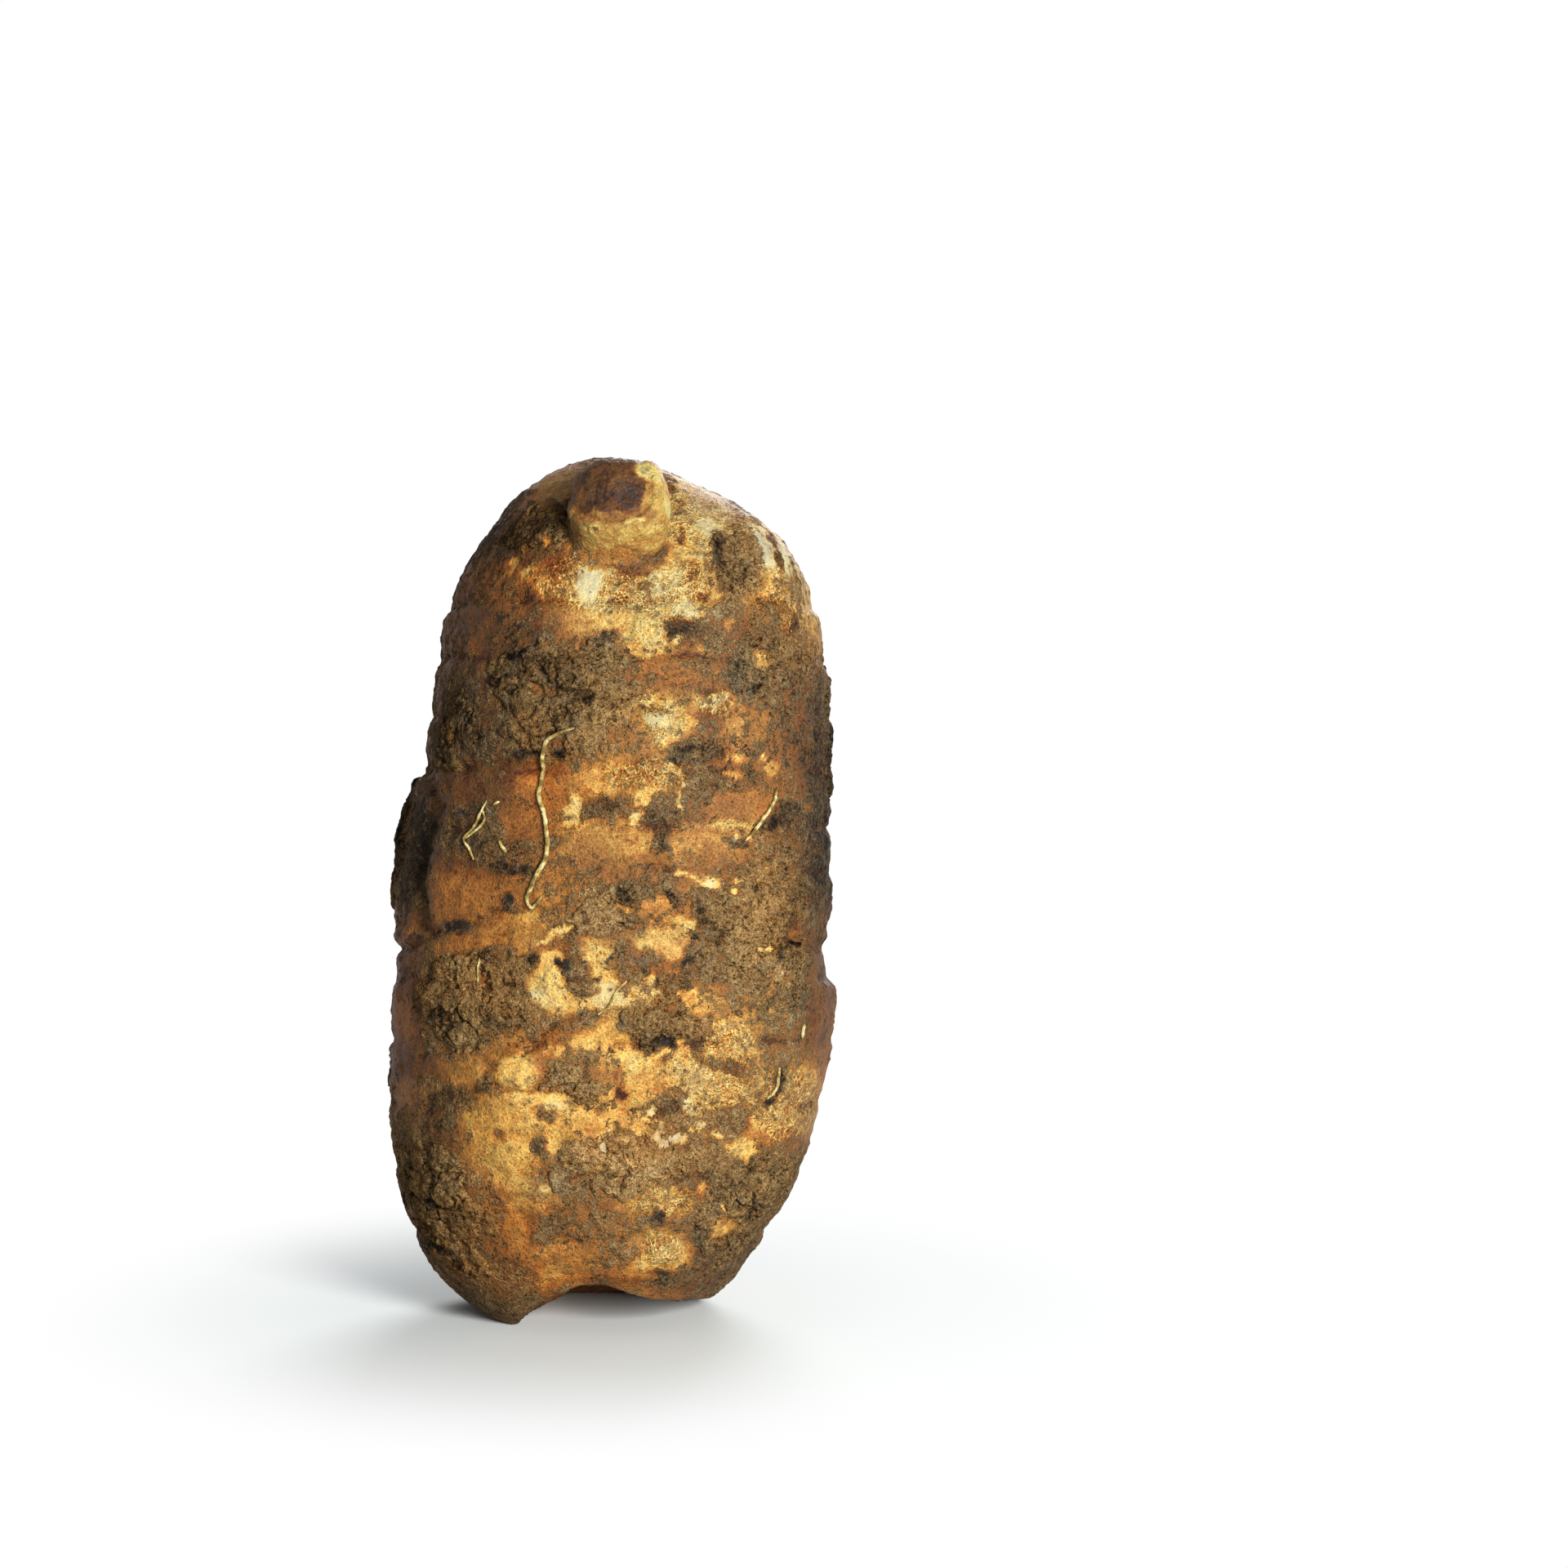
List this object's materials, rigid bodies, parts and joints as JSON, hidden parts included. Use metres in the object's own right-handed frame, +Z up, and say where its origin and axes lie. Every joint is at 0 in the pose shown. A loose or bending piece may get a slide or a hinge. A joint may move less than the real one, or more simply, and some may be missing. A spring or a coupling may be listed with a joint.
{
  "type": "gastrodia tuber",
  "caption": "Fresh gastrodia tuber standing on the hollow scar at its base, with a terminal bud, ringed skin, clinging soil crusts and fine rootlets.",
  "frame": {"origin": "under the middle of the whole, on the surface that the tuber stands on", "axes": "+Z up along the tuber from the base scar to the terminal bud, the bud faces -Y, +X to the right as seen from the front"},
  "size_m": [0.064, 0.053, 0.12],
  "materials": {
    "skin": "dull, slightly rough ochre skin with darker rings and paler scuffs",
    "soil": "matt, crumbly, grey-brown dried soil",
    "rootlet": "dull straw-yellow dry fibre"
  },
  "bodies": {
    "root": {"tuber": "skin", "leaf_scrap": "rootlet", "rootlet_centre": "rootlet", "rootlet_long": "rootlet", "rootlet_lower_right": "rootlet", "rootlet_right": "rootlet", "rootlet_tangle_left": "rootlet", "rootlet_waist_left": "rootlet", "soil_back_lower": "soil", "soil_back_right": "soil", "soil_back_upper": "soil", "soil_back_waist": "soil", "soil_belly_centre": "soil", "soil_belly_right": "soil", "soil_chest_edge": "soil", "soil_chest_left": "soil", "soil_chest_right": "soil", "soil_crown_left": "soil", "soil_crown_right": "soil", "soil_flank_left": "soil", "soil_flank_right": "soil", "soil_hip_centre": "soil", "soil_hip_left": "soil", "soil_hip_right": "soil", "soil_lobe": "soil", "soil_waist_centre": "soil", "soil_waist_left": "soil", "soil_waist_right": "soil", "straw_left": "rootlet", "straw_right": "rootlet"}
  },
  "joints": []
}
